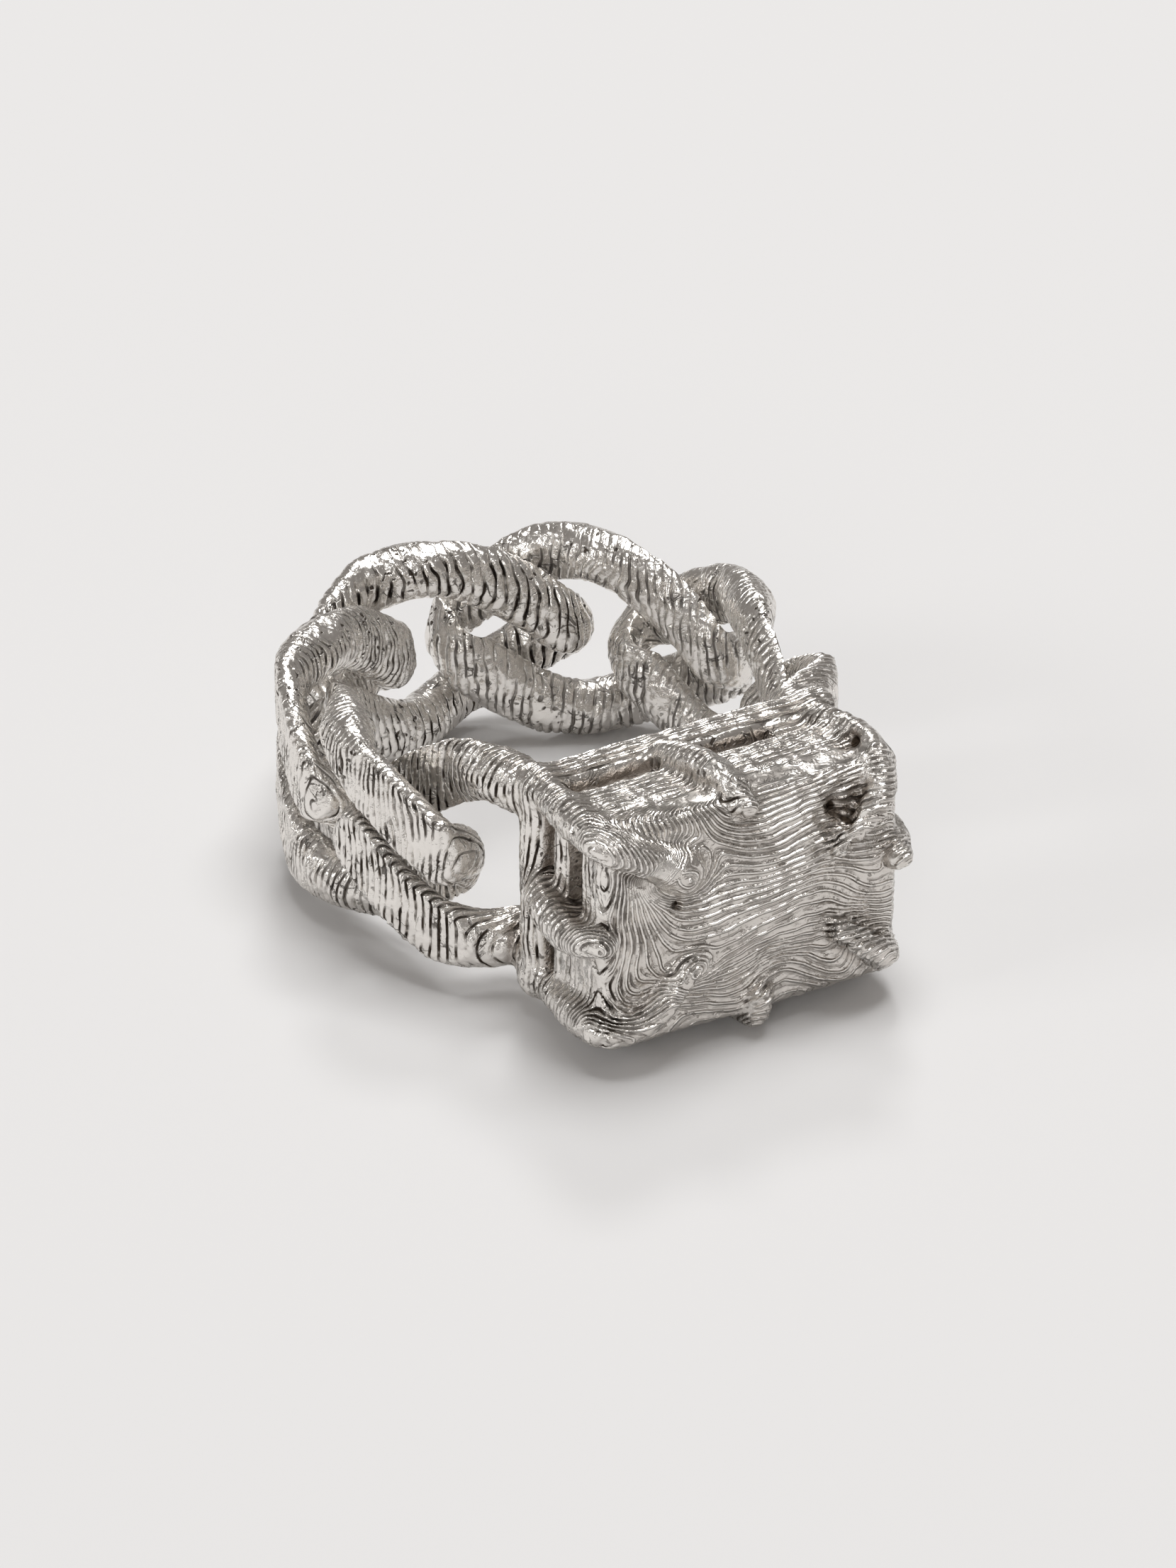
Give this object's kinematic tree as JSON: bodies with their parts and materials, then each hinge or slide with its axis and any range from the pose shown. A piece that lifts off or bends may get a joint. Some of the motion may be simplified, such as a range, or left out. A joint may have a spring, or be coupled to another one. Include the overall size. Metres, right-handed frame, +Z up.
{
  "type": "chain link ring",
  "caption": "Finger ring of interlocking curb links closed by a cast rectangular block head held by wire claws, lying on its side.",
  "frame": {"origin": "the point where the finger hole's axis meets the floor that the ring lies on", "axes": "+Z up from the floor, -Y towards the head's face, +X to the right as seen from in front of the face. The finger hole's axis leans 3 degrees from +Z towards +Y, because the head stands on its lowest claw"},
  "size_m": [0.0257, 0.031, 0.0135],
  "materials": {
    "silver": "bright raw casting in silver, with coarse layer lines and small pits"
  },
  "bodies": {
    "root": {"head": "silver", "link_1": "silver", "link_2": "silver", "link_3": "silver", "link_4": "silver", "link_5": "silver"}
  },
  "joints": []
}
